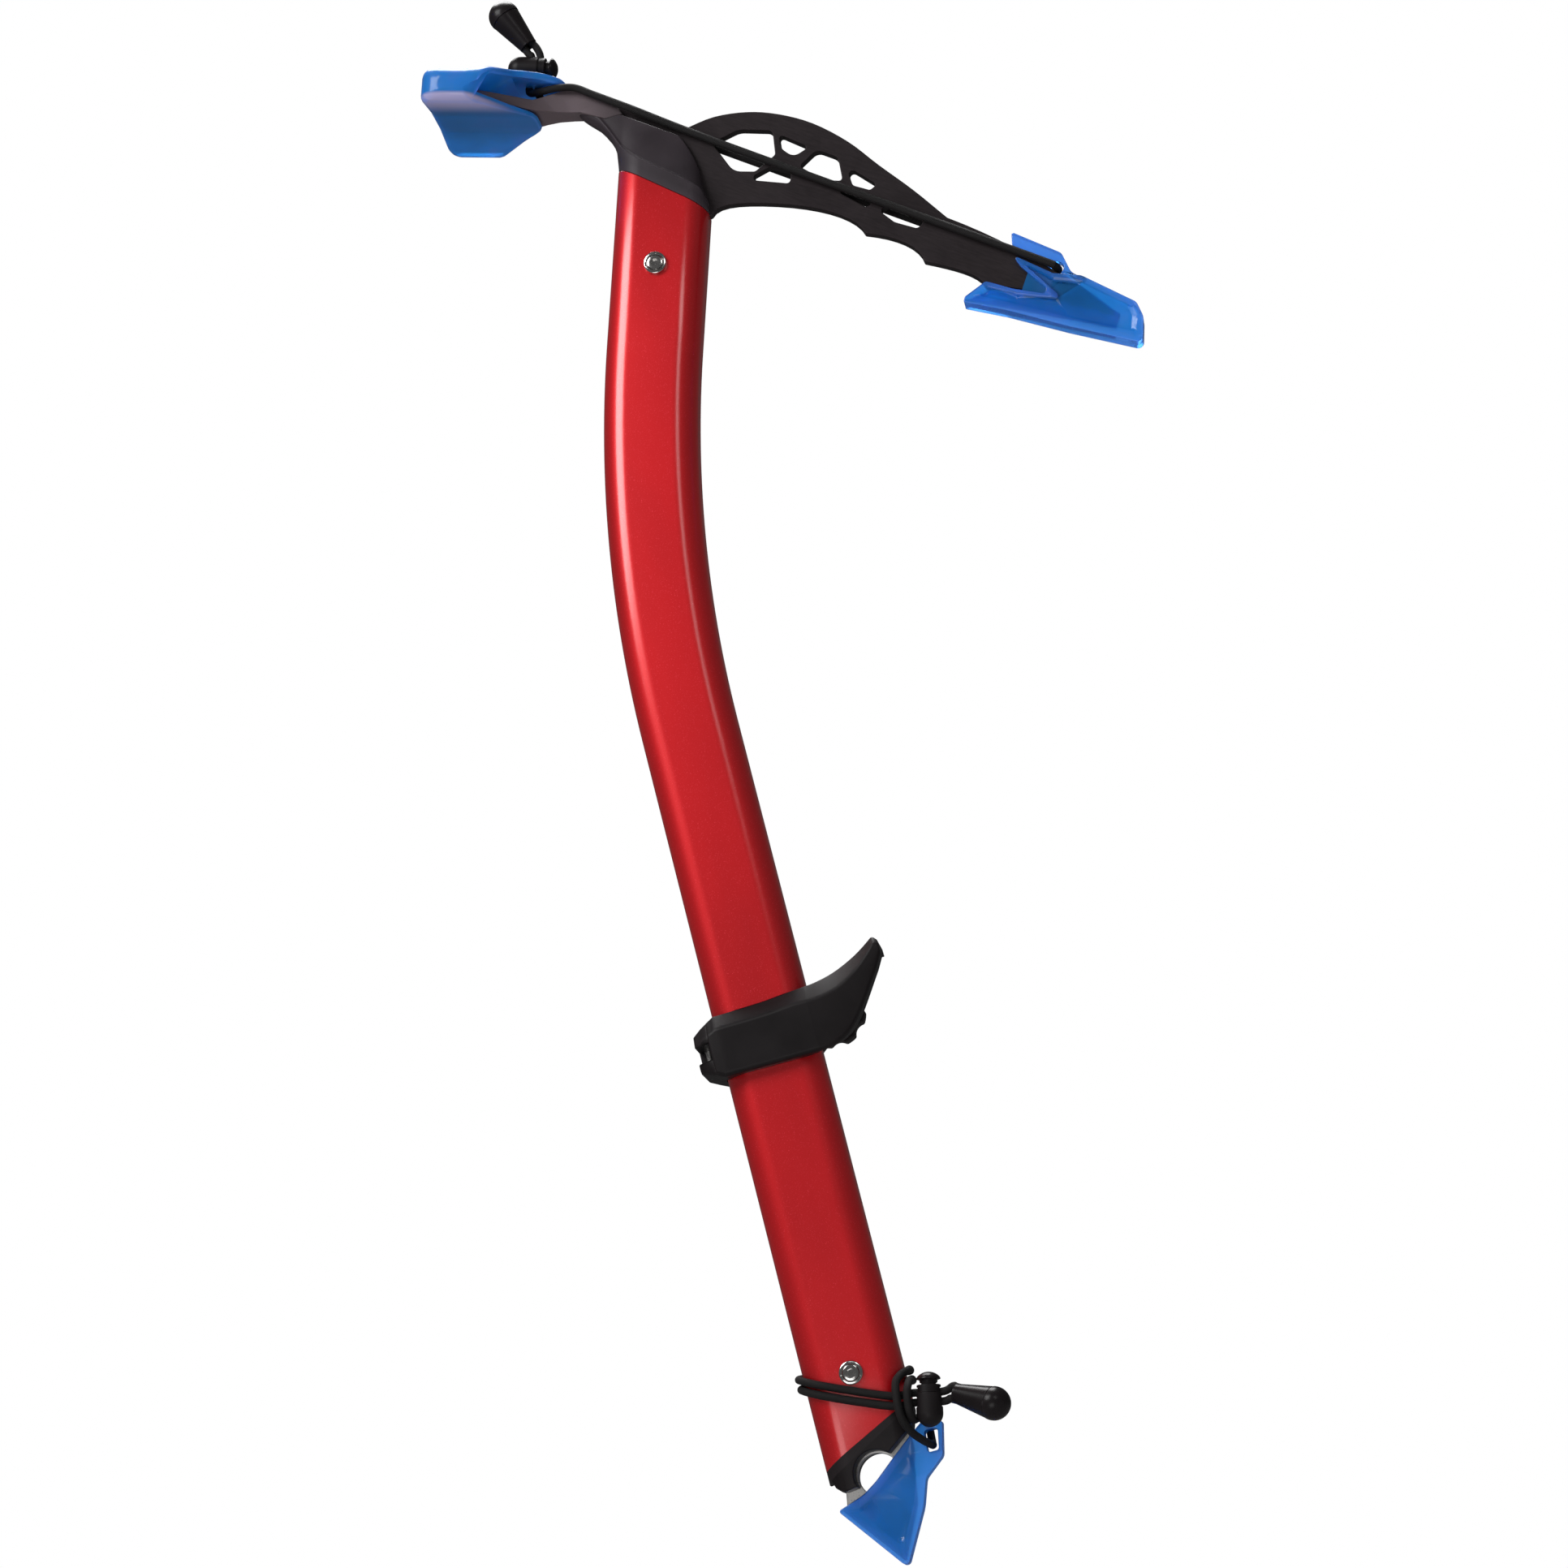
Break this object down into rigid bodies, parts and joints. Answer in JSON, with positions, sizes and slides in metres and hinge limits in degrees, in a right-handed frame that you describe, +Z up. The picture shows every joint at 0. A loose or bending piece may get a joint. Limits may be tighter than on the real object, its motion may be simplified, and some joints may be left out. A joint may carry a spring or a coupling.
{
  "type": "ice axe",
  "caption": "Compact ice axe with a bent hollow shaft, a lightened steel head, a slide-on finger rest and elastic-held blade guards.",
  "frame": {"origin": "centre of the clip hole in the spike", "axes": "+Z up the straight grip, +X towards the pick, -Y the near side in the picture"},
  "size_m": [0.2176, 0.0536, 0.5563],
  "materials": {
    "anodised_red": "satin anodised",
    "dark_steel": "satin dark",
    "grey_moulding": "matte",
    "bright_steel": "polished",
    "spike_steel": "brushed",
    "black_moulding": "matte",
    "blue_cover": "translucent, semi-gloss",
    "black_elastic": "woven, matte",
    "hidden_steel": "plain"
  },
  "bodies": {
    "axe": {"shaft": "anodised_red", "head": "dark_steel", "head_collar": "grey_moulding", "bolts": "bright_steel", "bolt_ferrules": "bright_steel", "barrel_nuts": "bright_steel", "spike_plug": "black_moulding", "spike": "spike_steel", "head_elastic": "black_elastic", "spike_elastic": "black_elastic", "spike_cord_end": "black_moulding"},
    "trigger": {"trigger_near_shell": "black_moulding", "trigger_hinge_pin": "hidden_steel", "trigger_nut": "hidden_steel"},
    "trigger_far": {"trigger_far_shell": "black_moulding"},
    "thumbscrew": {"thumbscrew_knob": "black_moulding", "thumbscrew_stud": "hidden_steel"},
    "adze_guard": {"adze_guard": "blue_cover", "head_cord_end": "black_moulding"},
    "pick_guard": {"pick_guard": "blue_cover"},
    "spike_guard": {"spike_guard": "blue_cover"},
    "head_toggle": {"head_toggle_body": "black_moulding", "head_toggle_spring": "hidden_steel"},
    "head_plunger": {"head_toggle_plunger": "black_moulding"},
    "spike_toggle": {"spike_toggle_body": "black_moulding", "spike_toggle_spring": "hidden_steel"},
    "spike_plunger": {"spike_toggle_plunger": "black_moulding"}
  },
  "joints": [
    {"name": "trigger_slide", "type": "slide", "parent": "axe", "child": "trigger", "axis": [0, 0, 1], "range_m": [-0.075, 0.085]},
    {"name": "clamp_hinge", "type": "hinge", "parent": "trigger", "child": "trigger_far", "pos_m": [-0.02015, 0, 0.146], "axis": [0, 0, 1], "range_deg": [0, 1.7]},
    {"name": "thumbscrew_turn", "type": "hinge", "parent": "trigger_far", "child": "thumbscrew", "pos_m": [0.02085, 0, 0.153], "axis": [0, 1, 0], "range_deg": [0, 540]},
    {"name": "adze_guard_slide", "type": "slide", "parent": "axe", "child": "adze_guard", "axis": [-0.9537, 0, 0.3007], "range_m": [0, 0.048], "stiffness_N_per_m": 60, "springref_m": -0.06, "deforming": ["head_elastic"]},
    {"name": "pick_guard_slide", "type": "slide", "parent": "axe", "child": "pick_guard", "axis": [0.7934, 0, -0.6088], "range_m": [0, 0.06], "stiffness_N_per_m": 60, "springref_m": -0.06, "deforming": ["head_elastic"]},
    {"name": "spike_guard_slide", "type": "slide", "parent": "axe", "child": "spike_guard", "axis": [0, 0, -1], "range_m": [0, 0.045], "stiffness_N_per_m": 60, "springref_m": -0.06, "deforming": ["spike_elastic"]},
    {"name": "head_toggle_slide", "type": "slide", "parent": "adze_guard", "child": "head_toggle", "axis": [0.3007, 0, 0.9537], "range_m": [0, 0.0015], "deforming": ["head_elastic"]},
    {"name": "head_plunger_press", "type": "slide", "parent": "head_toggle", "child": "head_plunger", "axis": [-0.9537, 0, 0.3007], "range_m": [0, 0.0014], "stiffness_N_per_m": 400, "springref_m": -0.002, "deforming": ["head_toggle_spring"]},
    {"name": "spike_toggle_slide", "type": "slide", "parent": "axe", "child": "spike_toggle", "axis": [0.9781, 0, -0.2079], "range_m": [0, 0.0024], "deforming": ["spike_elastic"]},
    {"name": "spike_plunger_press", "type": "slide", "parent": "spike_toggle", "child": "spike_plunger", "axis": [-0.2079, 0, -0.9781], "range_m": [0, 0.0014], "stiffness_N_per_m": 400, "springref_m": -0.002, "deforming": ["spike_toggle_spring"]}
  ],
  "couplings": [
    {"joint": "clamp_hinge", "follows": "thumbscrew_turn", "ratio": 0.003145}
  ]
}
